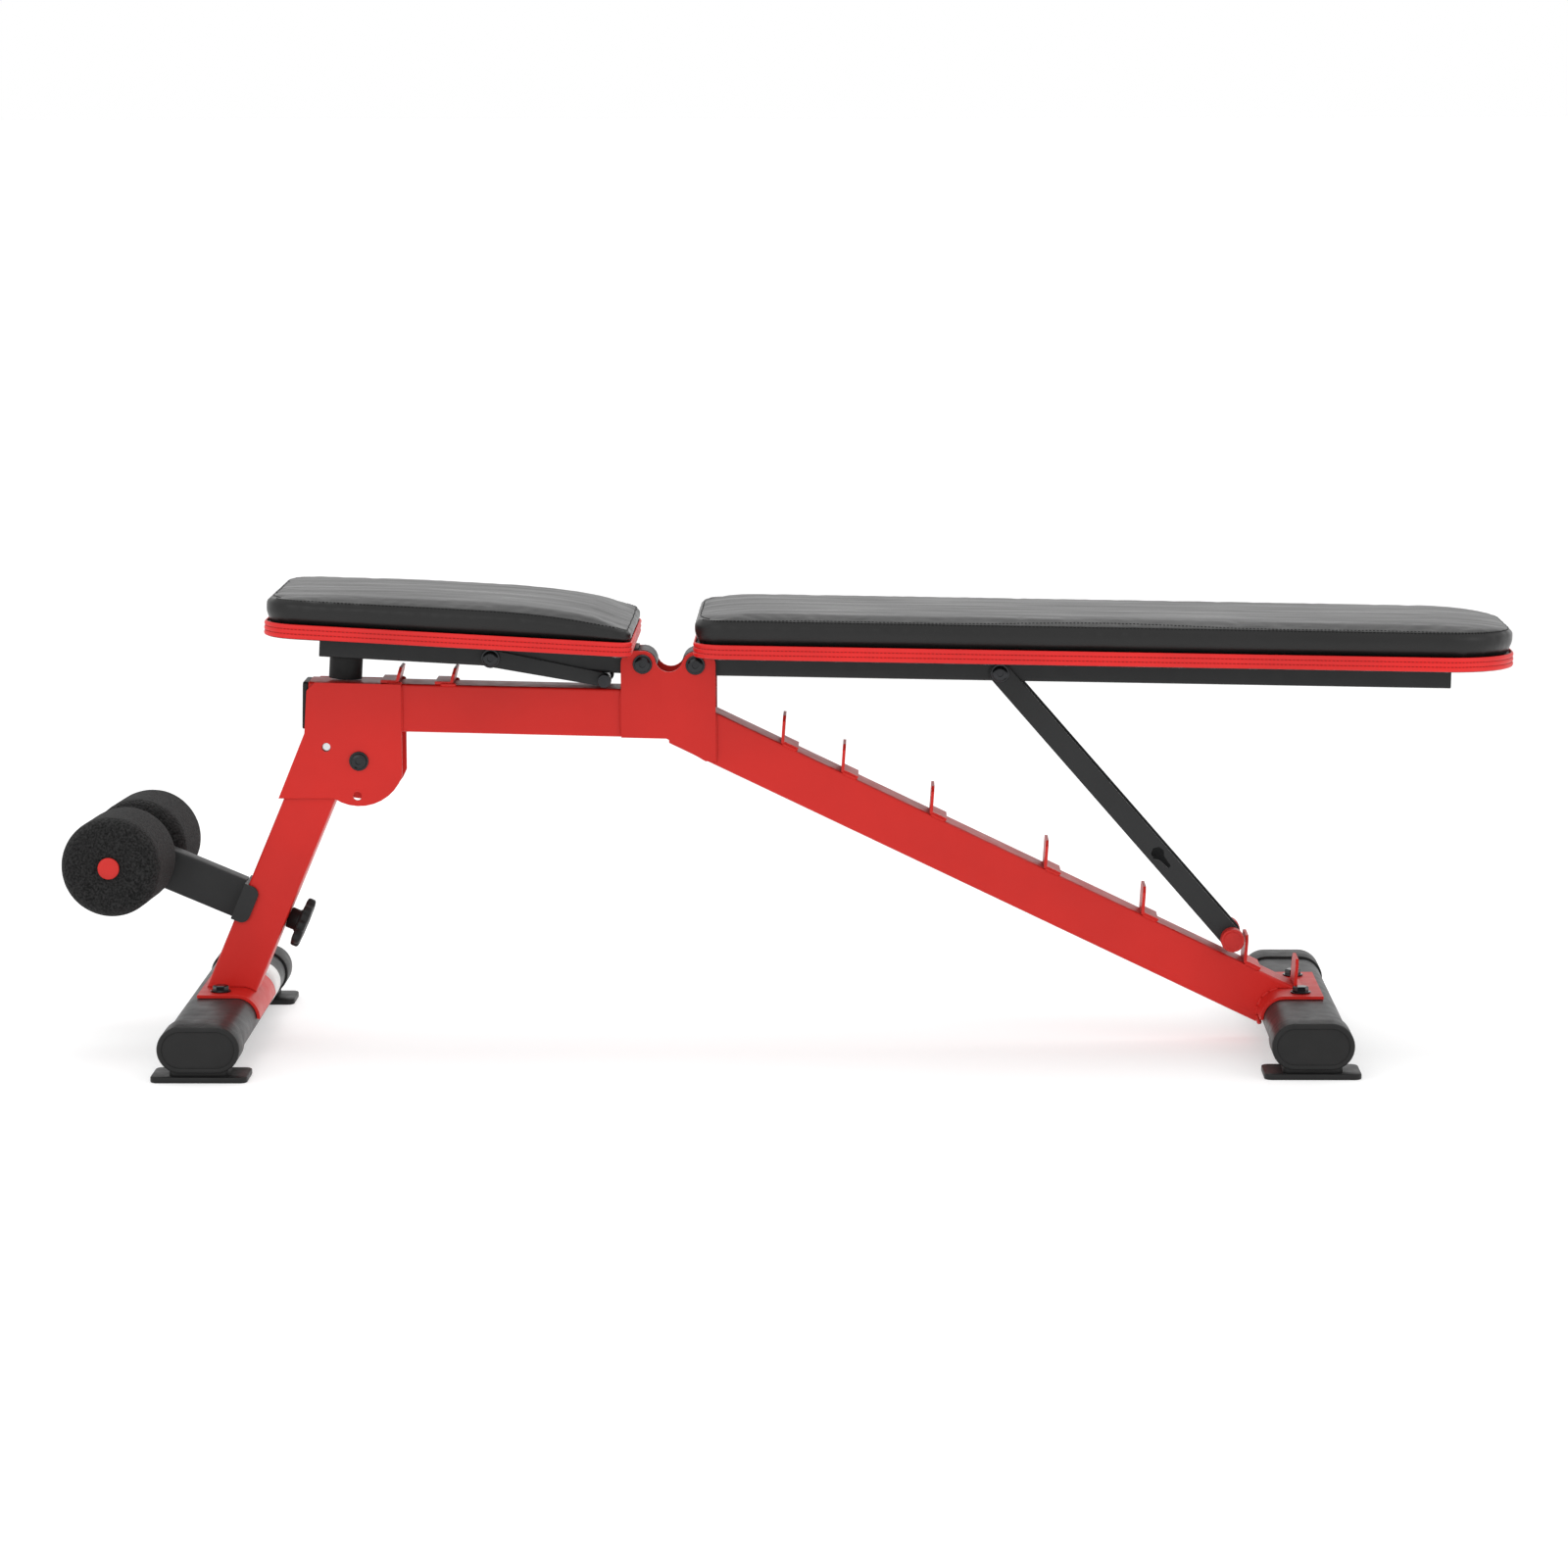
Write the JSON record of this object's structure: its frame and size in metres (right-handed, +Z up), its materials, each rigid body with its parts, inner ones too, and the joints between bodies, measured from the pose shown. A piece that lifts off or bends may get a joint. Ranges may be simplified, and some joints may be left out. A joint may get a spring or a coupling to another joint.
{
  "type": "decline sit up bench",
  "caption": "Folding adjustable sit-up bench: padded seat and back rest on hinged props, red welded frame, folding front leg with foam foot hold.",
  "frame": {"origin": "on the floor, under the middle of the bench's length and width", "axes": "+X towards the head end of the back rest, +Y across the bench, +Z up"},
  "size_m": [1.3344, 0.44, 0.432],
  "materials": {
    "red_powder_coat": "satin",
    "black_powder_coat": "satin",
    "black_moulded_plastic": "matte",
    "red_moulded_plastic": "satin",
    "black_vinyl": "satin",
    "red_vinyl": "satin",
    "black_foam": "matte",
    "black_rubber": "matte",
    "black_steel": "gloss",
    "zinc_steel": "satin"
  },
  "bodies": {
    "frame": {"back_catch_1": "red_powder_coat", "back_catch_2": "red_powder_coat", "back_catch_3": "red_powder_coat", "back_catch_4": "red_powder_coat", "back_catch_5": "red_powder_coat", "back_catch_6": "red_powder_coat", "back_catch_7": "red_powder_coat", "back_hinge_bolt": "black_steel", "hinge_gusset_far": "red_powder_coat", "hinge_gusset_near": "red_powder_coat", "leg_fold_plate_far": "red_powder_coat", "leg_fold_plate_near": "red_powder_coat", "leg_pivot_bolt": "black_steel", "main_beam": "red_powder_coat", "main_beam_end_plug": "black_moulded_plastic", "rear_beam": "red_powder_coat", "rear_foot_cap_far": "black_moulded_plastic", "rear_foot_cap_near": "black_moulded_plastic", "rear_foot_tube": "black_powder_coat", "rear_saddle": "red_powder_coat", "rear_saddle_bolt_far": "black_steel", "rear_saddle_bolt_near": "black_steel", "seat_catch_1": "red_powder_coat", "seat_catch_2": "red_powder_coat", "seat_hinge_bolt": "black_steel"},
    "front_leg": {"front_leg_tube": "red_powder_coat", "front_leg_pivot_sleeve": "red_powder_coat", "front_saddle": "red_powder_coat", "front_foot_tube": "black_powder_coat", "front_foot_cap_near": "black_moulded_plastic", "front_foot_cap_far": "black_moulded_plastic", "front_saddle_bolt_near": "black_steel", "front_saddle_bolt_far": "black_steel", "leg_lock_pin": "zinc_steel", "foot_hold_arm": "black_powder_coat", "foot_hold_bracket": "black_powder_coat", "foot_hold_axle": "black_powder_coat", "foot_hold_axle_cap_near": "red_moulded_plastic", "foot_hold_axle_cap_far": "red_moulded_plastic"},
    "clamp_knob": {"clamp_knob": "black_moulded_plastic"},
    "foam_roller_near": {"foam_roller_near": "black_foam"},
    "foam_roller_far": {"foam_roller_far": "black_foam"},
    "seat": {"seat_cushion": "black_vinyl", "seat_trim": "red_vinyl", "seat_board": "black_moulded_plastic", "seat_tube": "black_powder_coat", "seat_hinge_sleeve": "black_powder_coat", "seat_bumper": "black_rubber"},
    "seat_prop": {"seat_prop_link": "black_powder_coat", "seat_prop_rod": "black_steel", "seat_prop_bolt": "black_steel"},
    "back_rest": {"back_cushion": "black_vinyl", "back_trim": "red_vinyl", "back_board": "black_moulded_plastic", "back_tube": "black_powder_coat", "back_hinge_sleeve": "black_powder_coat"},
    "back_prop": {"back_prop_channel": "black_powder_coat", "back_prop_bar": "red_moulded_plastic", "back_prop_bolt": "black_steel"}
  },
  "joints": [
    {"name": "leg_fold", "type": "hinge", "parent": "frame", "child": "front_leg", "pos_m": [-0.399, 0, 0.2667], "axis": [0, -1, 0], "range_deg": [0, 109.5]},
    {"name": "knob_turn", "type": "hinge", "parent": "front_leg", "child": "clamp_knob", "pos_m": [-0.4903, 0, 0.12471], "axis": [0.9215, 0, -0.3883], "continuous": true},
    {"name": "roller_near_spin", "type": "hinge", "parent": "front_leg", "child": "foam_roller_near", "pos_m": [-0.61526, 0, 0.17737], "axis": [0.0482, 0.9986, -0.0203], "continuous": true},
    {"name": "roller_far_spin", "type": "hinge", "parent": "front_leg", "child": "foam_roller_far", "pos_m": [-0.61526, 0, 0.17737], "axis": [0.0482, 0.9986, -0.0203], "continuous": true},
    {"name": "seat_tilt", "type": "hinge", "parent": "frame", "child": "seat", "pos_m": [-0.1347, 0, 0.3574], "axis": [0, -1, 0], "range_deg": [-32.5, 0]},
    {"name": "seat_prop_swing", "type": "hinge", "parent": "seat", "child": "seat_prop", "pos_m": [-0.2758, 0, 0.3624], "axis": [0, -1, 0], "range_deg": [-10, 0]},
    {"name": "back_recline", "type": "hinge", "parent": "frame", "child": "back_rest", "pos_m": [-0.0857, 0, 0.3565], "axis": [0, -1, 0], "range_deg": [0, 72]},
    {"name": "back_prop_swing", "type": "hinge", "parent": "back_rest", "child": "back_prop", "pos_m": [0.1965, 0, 0.3485], "axis": [0, -1, 0], "range_deg": [-101, 0]}
  ],
  "couplings": [
    {"joint": "seat_prop_swing", "follows": "seat_tilt", "ratio": 0.3},
    {"joint": "back_prop_swing", "follows": "back_recline", "ratio": -1.4}
  ]
}
